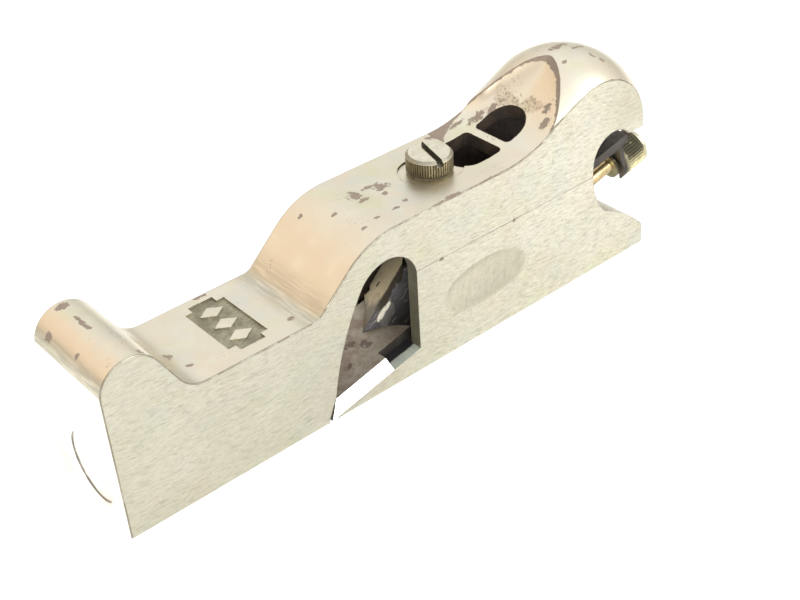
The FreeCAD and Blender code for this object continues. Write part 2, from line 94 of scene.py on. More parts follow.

# Colours of the metals, of the dirt on them, and of painted light and shade: linear red, green and blue.
GROUND_IRON = (0.605, 0.58, 0.475)
GROUND_PALE = (0.70, 0.68, 0.57)
GROUND_BRIGHT = (0.85, 0.84, 0.74)
GROUND_DARK = (0.36, 0.34, 0.265)
GROUND_TOE_SHADE = (0.36, 0.345, 0.275)
HEEL_TOP_DARKER = (0.38, 0.36, 0.26)
HOLLOW_PAINTED_SHADE = (0.36, 0.34, 0.25)
EDGE_LINE = (0.30, 0.275, 0.21)
NICKEL = (0.735, 0.690, 0.560)
NICKEL_BRIGHT = (0.86, 0.83, 0.70)
NICKEL_FRONT_SHADE = (0.42, 0.39, 0.29)
FORWARD_WARM_SHEEN = (0.725, 0.63, 0.505)
SCOOP_WALL_SHADE = (0.52, 0.42, 0.305)
WARM_STAIN = (0.42, 0.31, 0.19)
RUST_DARK = (0.16, 0.115, 0.095)
RUST_PALE = (0.30, 0.235, 0.18)
TOE_BRIGHT = (0.95, 0.94, 0.90)
TOE_WORN = (0.88, 0.86, 0.79)
RECESS_BRIGHT = (0.97, 0.96, 0.93)
RECESS_CORNER_SHADE = (0.15, 0.125, 0.10)
EDGE_DARK = (0.25, 0.23, 0.175)
EDGE_PALE = (0.46, 0.44, 0.36)
BED_PALE = (0.43, 0.47, 0.40)
BED_DARK = (0.36, 0.39, 0.34)
BED_MARKS = (0.22, 0.24, 0.21)
BED_PAINTED_SHADOW = (0.018, 0.017, 0.018)
BLADE_STEEL = (0.46, 0.43, 0.36)
BLADE_PATINA = (0.33, 0.265, 0.215)
BLADE_BLOOM = (0.25, 0.18, 0.15)
BLADE_RUST = (0.15, 0.10, 0.085)
BLADE_SCRATCH = (0.60, 0.57, 0.50)
FLANK_BRIGHT = (0.97, 0.97, 0.96)
FLANK_WORN = (0.88, 0.88, 0.87)
FLANK_STAIN = (0.72, 0.70, 0.65)
FACET_LIT_PALE = (0.98, 0.88, 0.62)
FACET_LIT_YELLOW = (0.88, 0.77, 0.52)
FACET_SHADE = (0.16, 0.14, 0.09)
FACET_SHADED_DARK = (0.042, 0.039, 0.041)
FACET_SHADED_BLACK = (0.030, 0.028, 0.027)
FACET_PAINTED_GLOW = (0.40, 0.38, 0.32)
FACET_PAINTED_HIGHLIGHT = (0.58, 0.54, 0.43)
FACET_MARKS = (0.36, 0.33, 0.27)
FACET_DIRT = (0.075, 0.062, 0.045)
KNURL_GRIME = (0.050, 0.042, 0.024)
KNURL_PITS = (0.16, 0.12, 0.09)
BRASS = (0.76, 0.62, 0.37)
BRASS_AGED = (0.50, 0.40, 0.22)


# ------------------------------------------------------------------ node graph helper
class Graph:
    """Builds one material's nodes.  Places and sizes in it are millimetres on the plane."""

    def __init__(self, name):
        self.material = bpy.data.materials.new(name)
        self.material.use_nodes = True
        self.tree = self.material.node_tree
        self.tree.nodes.clear()
        self.out = self.node("ShaderNodeOutputMaterial")
        self.shader = self.node("ShaderNodeBsdfPrincipled")
        self.link(self.shader.outputs[0], self.out.inputs["Surface"])
        place = self.node("ShaderNodeTexCoord")
        self.normal = place.outputs["Normal"]
        self.mm = self.mapped(place.outputs["Object"], (1 / MM,) * 3, (-TOE_X / MM, 0, 0))
        split = self.node("ShaderNodeSeparateXYZ")
        self.link(self.mm, split.inputs[0])
        self.x, self.y, self.z = split.outputs

    def node(self, kind, **settings):
        made = self.tree.nodes.new(kind)
        for key, value in settings.items():
            setattr(made, key, value)
        return made

    def link(self, source, target):
        self.tree.links.new(source, target)

    def put(self, socket, value):
        if isinstance(value, bpy.types.NodeSocket):
            self.link(value, socket)
        elif isinstance(value, tuple) and len(value) == 3 and socket.type == "RGBA":
            socket.default_value = (*value, 1)
        else:
            socket.default_value = value

    def mapped(self, vector, scale=(1, 1, 1), shift=(0, 0, 0), turn=(0, 0, 0)):
        made = self.node("ShaderNodeMapping", vector_type="POINT")
        self.link(vector, made.inputs["Vector"])
        made.inputs["Scale"].default_value = scale
        made.inputs["Location"].default_value = shift
        made.inputs["Rotation"].default_value = tuple(math.radians(a) for a in turn)
        return made.outputs[0]

    def math(self, operation, a, b=0.5):
        made = self.node("ShaderNodeMath", operation=operation)
        self.put(made.inputs[0], a)
        self.put(made.inputs[1], b)
        return made.outputs[0]

    def times(self, a, b):
        return self.math("MULTIPLY", a, b)

    def plus(self, a, b):
        return self.math("ADD", a, b)

    def minus(self, a, b):
        return self.math("SUBTRACT", a, b)

    def off(self, a, b=0.0):
        """How far a is from b, either way."""
        return self.math("ABSOLUTE", self.minus(a, b) if b else a)

    def most(self, *values):
        found = values[0]
        for value in values[1:]:
            found = self.math("MAXIMUM", found, value)
        return found

    def vector(self, operation, a, b=None, output="Vector"):
        made = self.node("ShaderNodeVectorMath", operation=operation)
        self.put(made.inputs[0], a)
        if b is not None:
            self.put(made.inputs["Scale" if operation == "SCALE" else 1], b)
        return made.outputs[output]

    def dot(self, vector, direction):
        return self.vector("DOT_PRODUCT", vector, direction, "Value")

    def step(self, value, low, high):
        """0 below low, 1 above high, smooth between; low above high turns it round."""
        made = self.node("ShaderNodeMapRange", interpolation_type="SMOOTHSTEP")
        flip = low > high
        self.link(value, made.inputs["Value"])
        made.inputs["From Min"].default_value = min(low, high)
        made.inputs["From Max"].default_value = max(low, high)
        made.inputs["To Min"].default_value = 1.0 if flip else 0.0
        made.inputs["To Max"].default_value = 0.0 if flip else 1.0
        return made.outputs["Result"]

    def grain(self, turn, stretch, sway=0.0, seed=0.0, detail=3.0, roughness=0.55):
        """Noise drawn out along a direction, that wanders from it by sway."""
        where = self.mm
        if sway:
            drift = self.node("ShaderNodeTexNoise", noise_dimensions="4D")
            self.link(self.mm, drift.inputs["Vector"])
            drift.inputs["W"].default_value = seed + 40
            drift.inputs["Scale"].default_value = 1 / 22
            drift.inputs["Detail"].default_value = 1.0
            where = self.vector("ADD", where, self.vector("SCALE", drift.outputs["Color"], sway))
        where = self.mapped(self.mapped(where, turn=turn), stretch)
        return self.noise(1.0, detail, roughness, seed, where)

    def noise(self, size, detail=3.0, roughness=0.55, seed=0.0, where=None, distortion=0.0):
        """Noise whose lumps are about size across."""
        made = self.node("ShaderNodeTexNoise", noise_dimensions="4D")
        self.link(where or self.mm, made.inputs["Vector"])
        made.inputs["W"].default_value = seed
        made.inputs["Scale"].default_value = 1 / size
        made.inputs["Detail"].default_value = detail
        made.inputs["Roughness"].default_value = roughness
        made.inputs["Distortion"].default_value = distortion
        return made.outputs[0]

    def tear(self, size, detail, roughness, seed, reach):
        """Noise centred on 0, to make a border ragged."""
        return self.times(self.minus(self.noise(size, detail, roughness, seed), 0.5), reach)

    def specks(self, spacing, radius, share, seed):
        """1 inside small scattered spots; only a share of the cells has one."""
        made = self.node("ShaderNodeTexVoronoi", voronoi_dimensions="4D")
        wobble = self.node("ShaderNodeTexNoise")
        self.link(self.mm, wobble.inputs["Vector"])
        wobble.inputs["Scale"].default_value = 1.3
        self.link(self.vector("ADD", self.mm, wobble.outputs["Color"]), made.inputs["Vector"])
        made.inputs["W"].default_value = seed
        made.inputs["Scale"].default_value = 1 / spacing
        spot = self.step(made.outputs["Distance"], radius * 1.3 / spacing, radius * 0.7 / spacing)
        chance = self.dot(made.outputs["Color"], (1, 0, 0))
        return self.times(spot, self.step(chance, 1 - share, 1.05 - share))

    def spots(self, places, seed, ragged=1.3, size=1.2):
        """1 inside ragged spots, each given as x, y, half length and half width."""
        near = None
        for x, y, length, width in places:
            shape = self.mapped(self.mm, (1 / length, 1 / width, 0), (-x / length, -y / width, 0))
            away = self.vector("LENGTH", shape, output="Value")
            near = away if near is None else self.math("MINIMUM", near, away)
        torn = self.plus(near, self.tear(size, 6.0, 0.75, seed, ragged * 4))
        return self.step(torn, 1.0, 0.75)

    def mix(self, factor, a, b):
        made = self.node("ShaderNodeMix", data_type="RGBA", clamp_factor=True)
        self.put(made.inputs["Factor"], factor)
        self.put(made.inputs["A"], a)
        self.put(made.inputs["B"], b)
        return made.outputs["Result"]

    def over(self, colour, tone, mask, share=1.0):
        """The colour, with a share of the tone laid over it where the mask is."""
        return self.mix(mask if share == 1.0 else self.times(mask, share), colour, tone)

    def blend(self, factor, a, b):
        made = self.node("ShaderNodeMix", data_type="FLOAT", clamp_factor=True)
        self.put(made.inputs["Factor"], factor)
        self.put(made.inputs["A"], a)
        self.put(made.inputs["B"], b)
        return made.outputs["Result"]

    def edges(self, radius, start):
        """1 along edges, found by how far a rounded normal leans from the true one."""
        soft = self.node("ShaderNodeBevel", samples=6)
        soft.inputs["Radius"].default_value = radius * MM
        true = self.node("ShaderNodeNewGeometry")
        return self.step(self.dot(soft.outputs[0], true.outputs["Normal"]), start, 0.90)

    def bump(self, height, depth, rounding=0.0):
        """Depth in millimetres for a height of 1, on edges rounded a little."""
        made = self.node("ShaderNodeBump")
        made.inputs["Strength"].default_value = 1.0
        made.inputs["Distance"].default_value = depth * MM
        self.link(height, made.inputs["Height"])
        if rounding:
            soft = self.node("ShaderNodeBevel", samples=6)
            soft.inputs["Radius"].default_value = rounding * MM
            self.link(soft.outputs[0], made.inputs["Normal"])
        return made.outputs[0]

    def finish(self, colour, roughness, normal=None, metallic=1.0):
        self.put(self.shader.inputs["Base Color"], colour)
        self.put(self.shader.inputs["Roughness"], roughness)
        self.put(self.shader.inputs["Metallic"], metallic)
        if normal is not None:
            self.link(normal, self.shader.inputs["Normal"])
        return self.material


# ------------------------------------------------------------------ metals
def rust_colour(g, seed):
    """Mottled brown rust."""
    return g.mix(g.noise(1.1, 3.0, seed=seed), RUST_DARK, RUST_PALE)


def tinted(g, tone, seed):
    """A tone with wide faint clouds of rosy, greenish and bluish tarnish."""
    rosy, green, blue = ((tone[0] * 1.03, tone[1] * 0.97, tone[2] * 0.95),
                         (tone[0] * 0.96, tone[1] * 0.985, tone[2] * 0.90),
                         (tone[0] * 0.95, tone[1] * 0.98, tone[2] * 1.06))
    colour = g.mix(g.step(g.noise(13, 3.0, seed=seed), 0.45, 0.70), tone, rosy)
    colour = g.over(colour, green, g.step(g.noise(10, 3.0, seed=seed + 1), 0.48, 0.68))
    return g.over(colour, blue, g.step(g.noise(11, 3.0, seed=seed + 2), 0.52, 0.70))


def ground_metal(name, seed):
    """Satin ground and plated iron of the sides and the sole, ground upright in the hollow, with painted
    shade towards the toe and on one side of the hollow.
    """
    g = Graph(name)
    lengthwise = g.grain((0, -4, 0), (0.30, 1.0, 2.0), 6.0, seed, 5.0, 0.66)
    hairs = g.grain((0, -1, 0), (0.45, 1.0, 5.5), 6.0, seed + 3, 3.0)
    upright = g.grain((0, 66, 0), (0.16, 1.0, 1.9), 5.0, seed + 5, 4.0, 0.62)
    skin = g.noise(0.9, 4.0, 0.7, seed + 6)
    across = g.mapped(g.mm, (1 / HOLLOW_LENGTH, 0, 1 / HOLLOW_HEIGHT),
                      (-HOLLOW_X / HOLLOW_LENGTH, 0, -HOLLOW_Z / HOLLOW_HEIGHT))
    away = g.vector("LENGTH", across, output="Value")
    in_hollow = g.times(g.step(away, 1.03, 0.93), g.step(g.z, 6.0, 7.0))
    coarse = g.blend(in_hollow, lengthwise, upright)
    # painted shade on one side of the finger hollow
    shaded = g.times(in_hollow, g.step(g.dot(across, (0.6, 0, -0.8)), -0.75, 0.85))
    cloud = g.noise(17, 4.0, 0.6, seed + 7)
    colour = tinted(g, GROUND_IRON, seed + 8)
    colour = g.over(colour, GROUND_PALE, g.step(cloud, 0.42, 0.66), 0.5)
    colour = g.over(colour, GROUND_DARK, g.step(coarse, 0.46, 0.66), 0.68)
    colour = g.over(colour, GROUND_BRIGHT, g.step(hairs, 0.50, 0.68), 0.55)
    colour = g.over(colour, GROUND_DARK, g.step(skin, 0.52, 0.66), 0.35)
    # painted shade: the sides grow darker towards the toe
    toward_toe = g.step(g.x, 190.0, 40.0)
    colour = g.over(colour, GROUND_TOE_SHADE, toward_toe, 0.42)
    # darker on the upper heel
    heel_top = g.times(g.step(g.x, 160.0, 182.0), g.step(g.z, 36.0, 52.0))
    colour = g.over(colour, HEEL_TOP_DARKER, heel_top, 0.45)
    colour = g.over(colour, HOLLOW_PAINTED_SHADE, shaded, 0.55)
    off_seam = g.off(g.z, PARTING_Z)
    seam = g.times(g.step(off_seam, 0.16, 0.05), g.step(g.x, THROAT_REAR - 0.5, THROAT_REAR + 0.5))
    seam = g.times(seam, g.step(g.noise(5, 4.0, 0.7, seed + 15), 0.30, 0.62))
    seam_pits = g.spots([(105.5, 0, 1.0, 40), (133.4, 0, 0.8, 40)], seed + 16, 0.5)
    below_seam = g.off(g.z, PARTING_Z - 0.2)
    seam = g.most(seam, g.times(seam_pits, g.step(below_seam, 0.7, 0.4)))
    pits = g.most(g.specks(11.0, 0.34, 0.55, seed), g.specks(5.0, 0.16, 0.4, seed + 2))
    nicks = g.step(g.noise(1.9, 4.0, 0.65, seed + 20), 0.42, 0.58)
    line = g.edges(0.30, 0.99)
    colour = g.over(colour, EDGE_LINE, line, 0.6)
    dark = g.most(pits, seam, g.times(g.times(line, nicks), 0.7))
    colour = g.over(colour, rust_colour(g, seed + 30), dark, 0.80)
    rough = g.plus(g.times(coarse, 0.22), g.times(cloud, 0.12))
    rough = g.blend(dark, g.plus(rough, 0.26), 0.75)
    height = g.plus(g.times(coarse, 0.6), g.times(hairs, 0.4))
    return g.finish(colour, rough, g.bump(g.minus(height, pits), 0.03, 0.2))


def ridge_band(g, seed):
    """Rust along the ridges where the scoop breaks out of the palm rest, wide at their apex."""
    from_centre = g.mapped(g.mm, shift=tuple(-c for c in PALM_CENTRE))
    along = g.most(g.dot(from_centre, PALM_FORWARD), 0.0)
    axis = g.node("ShaderNodeCombineXYZ")
    for socket, part in zip(axis.inputs, PALM_FORWARD):
        g.put(socket, g.times(along, part))
    away = g.vector("LENGTH", g.vector("SUBTRACT", from_centre, axis.outputs[0]), output="Value")
    depth = g.minus(PALM_RADIUS, away)
    tear = g.tear(1.5, 5.0, 0.65, seed, 1.6)
    near = g.times(g.step(g.y, 2.0, -4.0), g.step(g.x, 150.0, 157.0))
    reach = g.plus(g.times(near, 0.8), g.times(g.step(g.x, 159.0, 163.0), 0.8))
    reach = g.plus(g.plus(reach, 0.45), tear)
    band = g.step(g.minus(depth, reach), 0.15, -0.15)
    return g.times(band, g.most(g.step(g.y, -4.0, 2.0), g.step(g.x, 143.0, 149.0)))


# Rust spots as x, y, half length and half width.
DECK_SPOTS = [
    (100.4, 2.6, 2.6, 2.0), (92.0, 3.6, 2.2, 2.4), (92.6, 0.4, 2.4, 1.1), (97.6, 4.6, 2.2, 0.7),
    (99.0, -1.0, 1.2, 0.8), (78.2, 10.3, 0.8, 0.8), (83.4, 1.7, 1.1, 0.6), (89.4, -9.0, 1.6, 0.5),
    (96.0, -9.0, 1.6, 0.5), (100.4, -7.6, 0.9, 0.8), (84.4, -9.7, 0.9, 0.5)]
EDGE_SPOTS = [
    (111.0, -15.2, 3.4, 0.8), (106.0, -15.4, 2.6, 0.4), (123.5, -15.6, 2.0, 0.35),
    (46.3, 15.2, 2.2, 0.8), (130.4, 13.0, 4.0, 1.2), (138.0, 12.4, 2.8, 0.8), (58.4, -9.8, 1.1, 0.9)]
NOSE_SPOTS = [
    (28.4, -7.8, 0.8, 0.6), (26.0, -1.4, 1.0, 1.4), (13.0, -14.2, 0.8, 1.4), (8.4, 13.4, 1.6, 1.2),
    (8.4, 4.6, 0.7, 2.8), (8.6, 0.9, 0.8, 1.0), (2.3, -3.2, 0.6, 0.7), (1.8, 9.4, 0.8, 1.6)]
SCOOP_SPOTS = [
    (153.2, -9.4, 1.7, 1.1), (149.5, -11.8, 1.9, 1.4), (143.0, 9.2, 3.2, 1.6), (147.5, 7.2, 2.8, 1.0)]
CROWN_SPOTS = [
    (169.5, 2.4, 3.4, 1.4), (174.0, -1.4, 2.6, 0.8), (174.0, -6.7, 0.7, 1.2),
    (176.0, -9.3, 0.8, 1.0), (164.6, -5.2, 0.9, 0.7)]


def plated_metal(name, places, seed, scoop=False):
    """Worn nickel of the upper faces, with brown pits: a painted warm reflection where it leans forward,
    and painted shade low on the front and on the scoop's near-facing wall.
    """
    g = Graph(name)
    cloud = g.noise(9, 4.0, 0.6, seed + 4)
    colour = tinted(g, NICKEL, seed)
    colour = g.over(colour, NICKEL_BRIGHT, g.step(cloud, 0.45, 0.70), 0.35)
    # painted warm reflection, in patches, on faces that lean up and forward
    lean = g.step(g.dot(g.normal, (-0.62, 0.0, 0.78)), 0.80, 0.97)
    warm_sheen = g.times(lean, g.step(g.noise(8, 3.0, seed=seed + 6), 0.22, 0.60))
    if scoop:
        warm_sheen = g.times(warm_sheen, g.step(g.x, 141.0, 150.0))
    colour = g.over(colour, FORWARD_WARM_SHEEN, warm_sheen, 0.85)
    # painted shade, in streaks, low on the front of the rise and on faces turned towards the toe
    foot = g.times(g.step(g.z, FLAT_Z + 6.5, FLAT_Z + 1.0), g.step(g.x, 56.0, 61.0))
    chin = g.step(g.dot(g.normal, (-1.0, 0.0, 0.0)), 0.70, 0.93)
    streaky = g.grain((0, 0, 0), (1.2, 0.12, 1.2), 2.0, seed + 7, 3.0, 0.6)
    dull = g.times(g.most(g.times(foot, 0.75), chin), g.step(streaky, 0.25, 0.60))
    colour = g.over(colour, NICKEL_FRONT_SHADE, dull, 0.85)
    crowd = g.step(g.noise(12, 2.0, seed=seed + 9), 0.50, 0.66)
    limit = g.minus(0.705, g.times(crowd, 0.085))
    fleck = g.step(g.minus(g.noise(0.62, 3.0, 0.6, seed + 13), limit), 0.0, 0.025)
    pits = g.specks(3.4, 0.22, 0.20, seed + 14)
    stain = g.spots(places, seed + 15, 1.15, 1.5)
    dark = g.most(g.times(fleck, 0.8), pits, stain)
    if scoop:
        rim = g.spots([(151.0, 3.6, 2.6, 6.0), (152.6, -3.4, 2.2, 4.2)], seed + 18, 0.8, 4.0)
        grains = g.step(g.noise(0.9, 5.0, 0.75, seed + 19), 0.50, 0.60)
        # painted shade on the scoop wall that faces the near side
        wall = g.step(g.dot(g.normal, (0.0, -1.0, 0.0)), 0.15, 0.50)
        colour = g.over(colour, SCOOP_WALL_SHADE, wall, 0.8)
        colour = g.over(colour, WARM_STAIN, rim, 0.35)
        dark = g.most(dark, ridge_band(g, seed + 21), g.times(g.times(rim, grains), 0.8))
    line = g.edges(0.8, 0.985)
    ragged = g.step(g.noise(1.5, 4.0, 0.7, seed + 17), 0.50, 0.60)
    dark = g.most(dark, g.times(g.times(line, ragged), 0.8))
    colour = g.over(colour, rust_colour(g, seed + 23), dark, 0.92)
    marks = g.grain((0, 0, 8), (0.25, 2.2, 1.2), 4.0, seed + 25)
    rough = g.plus(g.times(cloud, 0.16), g.times(marks, 0.12))
    rough = g.blend(dark, g.plus(rough, 0.20), 0.8)
    height = g.minus(g.times(marks, 0.2), dark)
    height = g.plus(height, g.times(g.noise(2.4, 3.0, seed=seed + 27), 0.35))
    return g.finish(colour, rough, g.bump(height, 0.05, 0.2), g.blend(dark, 1.0, 0.25))


def polished_toe(name, seed):
    """Bright plating of the toe's end."""
    g = Graph(name)
    cloud = g.noise(7, 4.0, 0.6, seed)
    colour = g.mix(g.step(cloud, 0.40, 0.70), TOE_BRIGHT, TOE_WORN)
    pits = g.specks(6.0, 0.25, 0.4, seed + 4)
    colour = g.over(colour, rust_colour(g, seed + 5), pits, 0.7)
    marks = g.grain((0, 0, 0), (1.0, 0.3, 2.0), 2.0, seed + 6)
    rough = g.plus(g.times(marks, 0.15), g.times(cloud, 0.12))
    return g.finish(colour, g.plus(rough, 0.12), g.bump(g.minus(marks, pits), 0.02, 0.2))


def recess_wall(name, seed):
    """Bright plating with painted shade in the corner at the foot of the recess."""
    g = Graph(name)
    worn = g.noise(3, 4.0, 0.6, seed)
    # painted shade in the inner corner of the recess
    corner = g.step(g.plus(g.x, g.times(g.minus(worn, 0.5), 0.5)), 0.82, 0.98)
    colour = g.mix(corner, RECESS_BRIGHT, RECESS_CORNER_SHADE)
    return g.finish(colour, 0.35, g.bump(worn, 0.02), g.blend(corner, 0.0, 0.2))


def eased_edge(name, seed):
    """The narrow eased edges of the top casting: greyer, with dirt and rust lying along them."""
    g = Graph(name)
    worn = g.noise(6, 4.0, 0.6, seed)
    colour = g.mix(g.step(worn, 0.42, 0.68), EDGE_DARK, EDGE_PALE)
    dirt = g.most(g.times(g.step(g.noise(2.6, 4.0, 0.7, seed + 2), 0.50, 0.62), 0.85),
                  g.spots(EDGE_SPOTS, seed + 3, 0.8))
    colour = g.over(colour, rust_colour(g, seed + 5), dirt, 0.85)
    return g.finish(colour, g.blend(dirt, 0.34, 0.75), g.bump(worn, 0.03, 0.15), g.blend(dirt, 1.0, 0.35))


def dull_iron(name, low, high, rough, depth, metallic, seed, size=5.0):
    """Unpolished or unplated iron: a mottled tone with a grainy skin."""
    g = Graph(name)
    skin = g.noise(0.8, 5.0, 0.6, seed)
    cloud = g.noise(size, 4.0, seed=seed + 2)
    colour = g.mix(g.step(cloud, 0.35, 0.65), low, high)
    colour = g.over(colour, tuple(c * 0.55 for c in low), g.step(skin, 0.50, 0.68), 0.4)
    return g.finish(colour, g.blend(skin, rough, rough + 0.22), g.bump(skin, depth, 0.15), metallic)


def milled_bed(name, seed):
    """Blue-grey milled iron, with a black painted shadow along the cutter's edge."""
    g = Graph(name)
    marks = g.grain((0, 13, 0), (1.5, 0.2, 1.0), 0.0, seed)
    cloud = g.noise(5.0, 4.0, seed=seed + 2)
    colour = g.mix(g.step(cloud, 0.35, 0.65), BED_PALE, BED_DARK)
    colour = g.over(colour, BED_MARKS, g.step(marks, 0.5, 0.7), 0.3)
    # painted shadow of the cutter's shank on the bed
    painted_shadow = g.step(g.plus(g.off(g.y), cloud), SHADOW_HALF, SHADOW_HALF - 0.6)
    colour = g.over(colour, BED_PAINTED_SHADOW, painted_shadow)
    return g.finish(colour, g.blend(marks, 0.40, 0.55), g.bump(marks, 0.03, 0.15), 0.2)


def cutter_face(name, seed):
    """Brown rust patina over dull steel on the flat of the blade."""
    g = Graph(name)
    rust = g.noise(5.5, 5.0, 0.62, seed, distortion=0.5)
    bloom = g.noise(1.5, 4.0, 0.65, seed + 5)
    marks = g.grain((0, 13, 0), (0.2, 5.0, 1.0), 0.0, seed + 7)
    colour = g.mix(g.step(rust, 0.34, 0.66), BLADE_STEEL, BLADE_PATINA)
    colour = g.over(colour, BLADE_BLOOM, g.step(bloom, 0.52, 0.66), 0.5)
    spots = g.spots([(82.9, -0.7, 1.8, 1.3), (77.5, -7.2, 1.2, 1.0), (86.0, -4.0, 1.4, 2.4)], seed + 9)
    colour = g.over(colour, BLADE_RUST, g.most(spots, g.specks(4.0, 0.4, 0.3, seed)), 0.75)
    colour = g.over(colour, BLADE_SCRATCH, g.step(marks, 0.55, 0.75), 0.3)
    return g.finish(colour, g.blend(rust, 0.38, 0.62), g.bump(g.plus(bloom, marks), 0.03), 0.85)


def cutter_flank(name, seed):
    """Freshly ground bright steel of the relieved flanks and the cutting bevel."""
    g = Graph(name)
    marks = g.grain((0, 13, 0), (0.25, 6.0, 6.0), 0.0, seed)
    stain = g.noise(3.5, 4.0, seed=seed + 3)
    colour = g.mix(g.step(marks, 0.45, 0.8), FLANK_BRIGHT, FLANK_WORN)
    colour = g.over(colour, FLANK_STAIN, g.step(stain, 0.60, 0.75), 0.3)
    return g.finish(colour, g.blend(marks, 0.20, 0.34), g.bump(marks, 0.015, 0.1))


def cap_facet(name, pale, seed):
    """A facet of the lever cap's nose: on the far side pale and stained, its paleness painted light, with
    painted shade towards its lower front; on the near side painted dark as shade, with a painted glow and
    highlight.
    """
    g = Graph(name)
    cloud = g.noise(4.5, 4.0, 0.6, seed)
    marks = g.grain((0, 35, 0), (0.3, 1.2, 3.0), 0.0, seed + 4)
    if pale:
        # painted light: the far facet is pale as if lit, and painted shade darkens its lower front
        colour = g.mix(g.step(cloud, 0.38, 0.66), FACET_LIT_PALE, FACET_LIT_YELLOW)
        shade = g.plus(g.x, g.times(cloud, 9.0))
        colour = g.over(colour, FACET_SHADE, g.step(shade, 103.5, 98.5))
    else:
        # painted shade: the near facet is near-black
        colour = g.mix(g.step(cloud, 0.36, 0.66), FACET_SHADED_DARK, FACET_SHADED_BLACK)
        # painted highlight and painted glow beside the ridge
        bright = g.spots([(94.6, -1.5, 2.0, 0.7), (96.6, -1.7, 1.1, 0.5)], seed + 5, 0.35)
        glow = g.spots([(95.6, -2.6, 3.0, 1.7)], seed + 10, 0.5)
        colour = g.over(colour, FACET_PAINTED_GLOW, glow, 0.10)
        colour = g.over(colour, FACET_PAINTED_HIGHLIGHT, bright, 0.5)
    colour = g.over(colour, FACET_MARKS, g.step(marks, 0.52, 0.75), 0.25)
    ridge = g.step(g.plus(g.off(g.y), g.tear(1.6, 4.0, 0.65, seed + 6, 2.4)), 1.15, 0.75)
    pit = g.spots([(100.9, 7.6, 0.8, 0.6)], seed + 8, 0.4)
    dark = g.most(g.times(ridge, g.step(g.x, 93.0, 96.0)), pit, g.specks(3.5, 0.25, 0.25, seed + 9))
    colour = g.over(colour, FACET_DIRT, dark, 0.92)
    rough = g.blend(dark, g.blend(cloud, 0.30, 0.46), 0.7)
    relief = g.bump(g.minus(g.times(marks, 0.3), dark), 0.05, 0.3)
    return g.finish(colour, rough, relief, 0.15 if pale else 1.0)


def knurled_metal(name, light, deep, crest, middle, axis, radius, seed, plain=None):
    """Knurled hardware: grime fills the grooves, the crests are worn, ends and plain are clean."""
    g = Graph(name)
    away = g.mapped(g.mm, shift=tuple(-c for c in middle))
    reach = g.vector("LENGTH", g.vector("CROSS_PRODUCT", away, axis), output="Value")
    along = g.dot(away, axis)
    flat = g.step(g.off(g.dot(g.normal, axis)), 0.55, 0.85)
    side = g.minus(1.0, flat)
    if plain is not None:
        side = g.times(side, g.step(along, plain, plain - 0.2))
    groove = g.times(g.step(reach, radius - 0.02, radius - 0.16), side)
    stain = g.noise(1.8, 4.0, 0.6, seed)
    colour = g.mix(g.step(stain, 0.40, 0.66), light, deep)
    colour = g.over(colour, g.mix(g.step(stain, 0.35, 0.7), crest, tuple(c * 0.6 for c in crest)), side)
    grime = g.times(groove, g.step(stain, 0.15, 0.45))
    colour = g.over(colour, KNURL_GRIME, grime, 0.95)
    turning = g.noise(1.0, 2.0, 0.5, seed + 4)
    pits = g.specks(2.4, 0.22, 0.3, seed + 9)
    colour = g.over(colour, KNURL_PITS, pits, 0.8)
    rough = g.blend(grime, g.blend(stain, 0.26, 0.42), 0.75)
    height = g.minus(g.times(turning, 0.3), pits)
    return g.finish(colour, rough, g.bump(height, 0.03, 0.08), g.blend(grime, 1.0, 0.5))


def brass(name, seed):
    """Aged brass of the adjusting stud."""
    g = Graph(name)
    stain = g.noise(2.2, 4.0, 0.6, seed)
    colour = g.mix(g.step(stain, 0.35, 0.7), BRASS, BRASS_AGED)
    return g.finish(colour, g.blend(stain, 0.25, 0.48), g.bump(stain, 0.02))


# ------------------------------------------------------------------ sorting faces
def dress(node, materials, rule):
    """Gives each face of a CAD node the material that rule(place, normal, inner) names.

    place is the face's middle, and inner is how far out its innermost corner lies.
    """
    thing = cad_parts[node]
    thing.data.materials.clear()
    names = list(materials)
    for name in names:
        thing.data.materials.append(materials[name])
    for face in thing.data.polygons:
        centre = face.center
        place = Vector((centre.x - TOE_X, centre.y, centre.z)) / MM
        inner = min(abs(thing.data.vertices[corner].co.y) for corner in face.vertices) / MM
        face.material_index = names.index(rule(place, face.normal, inner))


def palm_side(place):
    """How deep a place lies inside the palm rest's ball and taper, and which way is out."""
    forward = Vector(PALM_FORWARD)
    rest = place - Vector(PALM_CENTRE)
    outward = rest - forward * max(rest.dot(forward), 0)
    return PALM_RADIUS - outward.length, outward.normalized()


def casting_rule(place, normal, inner):
    """Which metal a face of the top casting has."""
    x, y, z = place
    if x < RECESS_DEPTH + 0.05 and abs(normal.x) > 0.98:
        return "toe"
    if x < RECESS_DEPTH and abs(normal.x) < 0.1 and z < FLAT_Z and abs(y) < HALF - 1:
        return "recess"
    if z < 0.02 or (abs(y) > HALF - 0.02 and abs(normal.y) > 0.98):
        return "ground"
    if inner > HALF - EDGE and 0.02 < abs(normal.y) < 0.99 and (z > PARTING_Z or x < 2 * EDGE):
        return "edge"
    if PANEL_FRONT < x < PANEL_REAR and PARTING_Z < z < FLAT_Z - 0.01 and normal.z > -0.1:
        return "panel" if normal.z < 0.5 or z < PANEL_FLOOR_Z else "plated"
    if THROAT_FRONT < x < THROAT_REAR + 0.1 and z < THROAT_TOP and normal.z < 0.3:
        return "throat"
    if x > THROAT_REAR and (normal.z < -0.05 or (abs(y) < CHANNEL_HALF and abs(normal.z) < 0.05)):
        return "raw_shaded"
    depth, outward = palm_side(place)
    if x < SCOOP_X:
        return "plated"
    if normal.dot(outward) < -0.2:
        return "raw_shaded"
    on_palm = depth < 0.4 and normal.dot(outward) > 0.96
    return "plated" if on_palm or normal.z < 0.1 else "scoop"


